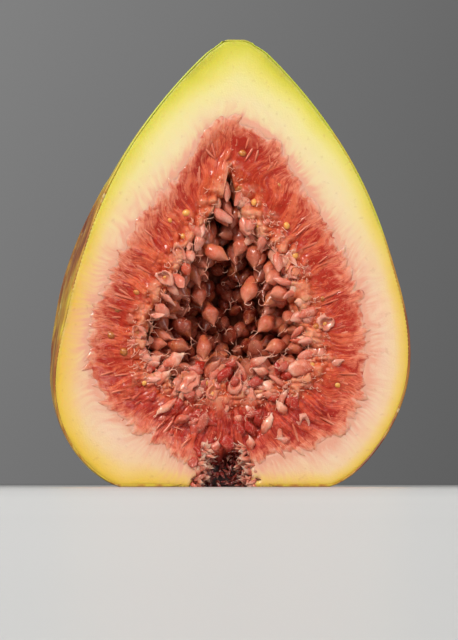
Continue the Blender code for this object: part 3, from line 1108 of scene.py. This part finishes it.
def seeds(random, holders):
    """Golden seeds: one in each cup, and a few loose in the pulp."""
    inside = holders.place + unit(holders.axis) * 0.50
    loose = spread(random, 22, 2.6, on_pulp(0.30, 0.95, 6.0, 50.0))
    loose = at_depth(loose, 0.42 + random.uniform(-0.1, 0.2, len(loose)))
    place = np.concatenate([inside, loose])
    count = len(place)
    direction = unit(random.normal(0.0, 1.0, (count, 2)))
    width = random.uniform(0.34, 0.56, count)
    size = np.stack([width, 0.85 * width, 2.3 * width], -1)
    axis = upright(direction, random.uniform(-0.2, 0.2, count))
    return Batch(place - 0.5 * size[:, 2:] * unit(axis), axis, facing_viewer(count, random),
                 size, np.zeros((count, 2)), random.uniform(0.0, 1.0, count) ** 1.5)


def eye_scales(random):
    """Small frayed scales that close the eye: dark in its middle, pale at its sides."""
    count = 300
    side = np.where(random.uniform(0.0, 1.0, count) < 0.5, -1.0, 1.0)
    v = random.uniform(0.4, 5.8, count)
    reach = random.uniform(0.0, 1.0, count) ** 0.6 * (5.2 - 0.25 * v)
    edge = smoothstep(reach + 0.28 * v, 2.8, 4.6)
    depth = 0.3 + 2.0 * (1.0 - edge) + random.uniform(-0.3, 0.6, count)
    direction = unit(np.stack([-side * random.uniform(0.2, 1.0, count),
                               random.normal(0.0, 0.6, count)], -1))
    size = np.stack([random.uniform(0.12, 0.36, count), random.uniform(0.07, 0.16, count),
                     random.uniform(0.6, 1.6, count)], -1) * (1.0 + 0.4 * edge)[:, None]
    return strewn(random, np.stack([EYE_OFFSET + side * reach, depth, v], -1), direction,
                  (-0.3, 0.6), 0.5, size, 0.30, (1.0 - edge, 0.25))


# ---- threads

THREAD_RADIUS = 0.064
# Each tip has two chances of a thread, and this share of them comes up
THREAD_SHARE = 0.62
# Where a thread stands out by more than about 1.3 mm, it is pressed back to the limit
# plus the share kept of how far out it was
THREAD_LIMIT, THREAD_KEPT = -0.9, 0.3
THREAD_LOWEST = 0.15


def rim_tips(random):
    """Places and directions of loose threads round the edge of the hollow."""
    face = spread(random, 520, 0.45, on_pulp(0.62, 1.0, 8.0, 46.0))
    count = len(face)
    depth = 0.15 + 1.6 * smoothstep(pulp_share(face), 0.84, 1.0) ** 2
    place = at_depth(face, depth + random.uniform(-0.1, 0.3, count))
    heading = random.normal(0.0, 0.7, (count, 3))
    heading[:, [0, 2]] += towards_focus(face)
    return place, unit(heading)


def tips_of(batch):
    """Tip points and directions of a batch of florets."""
    along, front, side = directions_of(batch)
    lean = side * batch.bend[:, :1] + front * batch.bend[:, 1:]
    return batch.place + batch.size[:, 2:] * (along + lean), unit(along + 2.0 * lean)


def threads_piece(random, *batches):
    """Fine curling threads at the tips of the florets and round the hollow."""
    ends = [tips_of(b) for b in batches] + [rim_tips(random)]
    tip, heading = (np.repeat(np.concatenate(part), 2, axis=0) for part in zip(*ends))
    chosen = random.uniform(0.0, 1.0, len(tip)) < THREAD_SHARE
    tip, heading = tip[chosen], heading[chosen]
    count, joints, sides = len(tip), 13, 5
    heading = unit(heading + random.normal(0.0, 0.35, (count, 3)))
    turn = random.normal(0.0, 1.0, (count, 3))
    turn = unit(turn - (turn * heading).sum(-1, keepdims=True) * heading)
    length = random.uniform(0.5, 1.8, count)
    curl = random.normal(0.0, 3.2, count)
    t = np.linspace(0.0, 1.0, joints)
    step = (length / (joints - 1))[:, None]
    bearing = curl[:, None] * t ** 1.3
    direction = (np.cos(bearing)[..., None] * heading[:, None]
                 + np.sin(bearing)[..., None] * turn[:, None])
    path = tip[:, None] + np.cumsum(direction * step[..., None], 1) - 0.3 * heading[:, None]
    path[..., 1] = np.maximum(path[..., 1], THREAD_LIMIT + THREAD_KEPT * path[..., 1])
    path[..., 2] = np.maximum(path[..., 2], THREAD_LOWEST)
    over = unit(np.cross(heading, turn))
    normal = np.cross(direction, over[:, None])
    around = round_angles(sides)
    ring = (np.cos(around)[:, None] * normal[:, :, None]
            + np.sin(around)[:, None] * over[:, None, None])
    thickness = THREAD_RADIUS * (1.0 - 0.5 * t)
    points = path[:, :, None] + thickness[None, :, None, None] * ring
    tone = np.repeat(random.uniform(0.0, 0.6, count), joints * sides)
    faces = copied_faces(tube_faces(joints, sides), count, joints * sides)
    piece = make_piece("threads", points.reshape(-1, 3), faces, {"tone": tone})
    return finish_piece(piece, thread_material())


# ---- stage and view

CAMERA_AZIMUTH = -9.0
CAMERA_DISTANCE = 0.62
CAMERA_HEIGHT = 0.0004
VIEW_HEIGHT = 0.0913
VIEW_MIDDLE = (-1.2, 0.0, 23.8)


def aim_at(thing, target):
    thing.rotation_euler = (Vector(target) - thing.location).to_track_quat("-Z", "Y").to_euler()


def camera():
    """Level with the base, a little to the left of the cut face's normal."""
    target = to_world(np.array(VIEW_MIDDLE))
    turn = math.radians(CAMERA_AZIMUTH)
    lens = bpy.data.cameras.new("camera")
    lens.sensor_width = 36.0
    lens.lens = 36.0 * CAMERA_DISTANCE / VIEW_HEIGHT
    lens.clip_start = 0.001
    body = new_object("camera", lens)
    body.location = (target[0] + CAMERA_DISTANCE * math.sin(turn),
                     target[1] - CAMERA_DISTANCE * math.cos(turn), CAMERA_HEIGHT)
    aim_at(body, target)
    bpy.context.scene.camera = body


def area_light(name, place, target, width, height, power, colour=(1.0, 1.0, 1.0)):
    lamp = bpy.data.lights.new(name, "AREA")
    lamp.shape = "RECTANGLE"
    lamp.size = width
    lamp.size_y = height
    lamp.energy = power
    lamp.color = colour
    body = new_object(name, lamp)
    body.location = place
    aim_at(body, target)


def floor():
    """Plain pale floor, which is not part of the fig."""
    bpy.ops.mesh.primitive_plane_add(size=6.0, location=(0.0, 0.0, 0.0))
    plane = bpy.context.object
    plane.name = "floor"
    s = Shader("floor", 0.32)
    tones = [(0.3, (0.35, 0.35, 0.343)), (0.7, (0.38, 0.38, 0.373))]
    s.set("Base Color", s.ramp(s.noise(60.0), tones))
    plane.data.materials.append(s.material)


def backdrop():
    """Grey studio wall as the world, lighter to the upper left."""
    world = bpy.data.worlds.new("studio")
    world.use_nodes = True
    s = Nodes(world.node_tree)
    parts = s.node("ShaderNodeSeparateXYZ")
    s.link(s.node("ShaderNodeTexCoord").outputs["Generated"], parts.inputs[0])
    across = s.span(parts.outputs[0], 0.10, 0.21, 0.19, 0.122)
    upward = s.span(parts.outputs[2], 0.0, 0.12, 0.94, 1.18)
    s.link(s.math("MULTIPLY", across, upward), s.tree.nodes["Background"].inputs["Color"])
    bpy.context.scene.world = world


def studio():
    bpy.context.scene.view_settings.view_transform = "Standard"
    middle = (0.0, 0.0, 0.028)
    area_light("key", (-0.40, -0.60, 0.56), middle, 0.26, 0.26, 7.2, (1.0, 0.98, 0.95))
    area_light("fill", (0.42, -0.60, 0.30), middle, 0.40, 0.40, 1.7, (0.97, 0.98, 1.0))
    area_light("back", (0.1, 0.60, 0.60), middle, 0.60, 0.40, 2.6)


# ---- make it


def grow_all(random):
    """Stalks, florets, seeds, scales and threads, in the order of their random draws."""
    stalk = template(STALK_PROFILE, 8, 10)
    lump = template(LUMP_PROFILE, 12, 11)
    floret = template(FLORET_PROFILE, 14, 15)
    seed = template(SEED_PROFILE, 12, 10)
    bowl = bowl_template(BOWL_PROFILE, 18, 14)
    grown_piece("stalks", stalk, fringe(random),
                body_material("fig_stalk", subsurface=0.0), 0.15, 31)
    grown_piece("swollen_stalks", lump, middle_lumps(random),
                body_material("fig_lump"), 0.30, 32)
    rim = rim_florets(random)
    grown_piece("rim_florets", floret, rim, body_material("fig_rim"), 0.30, 33)
    low = joined(tumbled_florets(random), lower_marks())
    grown_piece("lower_florets", floret, low, body_material("fig_low"), 0.50, 34)
    deep = joined(hollow_florets(random), large_florets())
    grown_piece("hollow_florets", floret, deep, body_material("fig_deep", gloss=0.34), 0.18, 35)
    holders = cups(random)
    grown_piece("opened_florets", bowl, holders, body_material("fig_cup"), 0.60, 37)
    grown_piece("seeds", seed, seeds(random, holders), seed_material(), 0.12, 36)
    grown_piece("eye_scales", floret, eye_scales(random), body_material("fig_eye"), 0.45, 38)
    threads_piece(random, rim, low, deep)


def main():
    camera()
    backdrop()
    studio()
    floor()
    skin = skin_piece()
    flesh = flesh_piece()
    pulp = pulp_piece()
    hollow_piece()
    for piece in (skin, flesh, pulp):
        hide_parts("fig_half")
    grow_all(np.random.default_rng(20))


main()
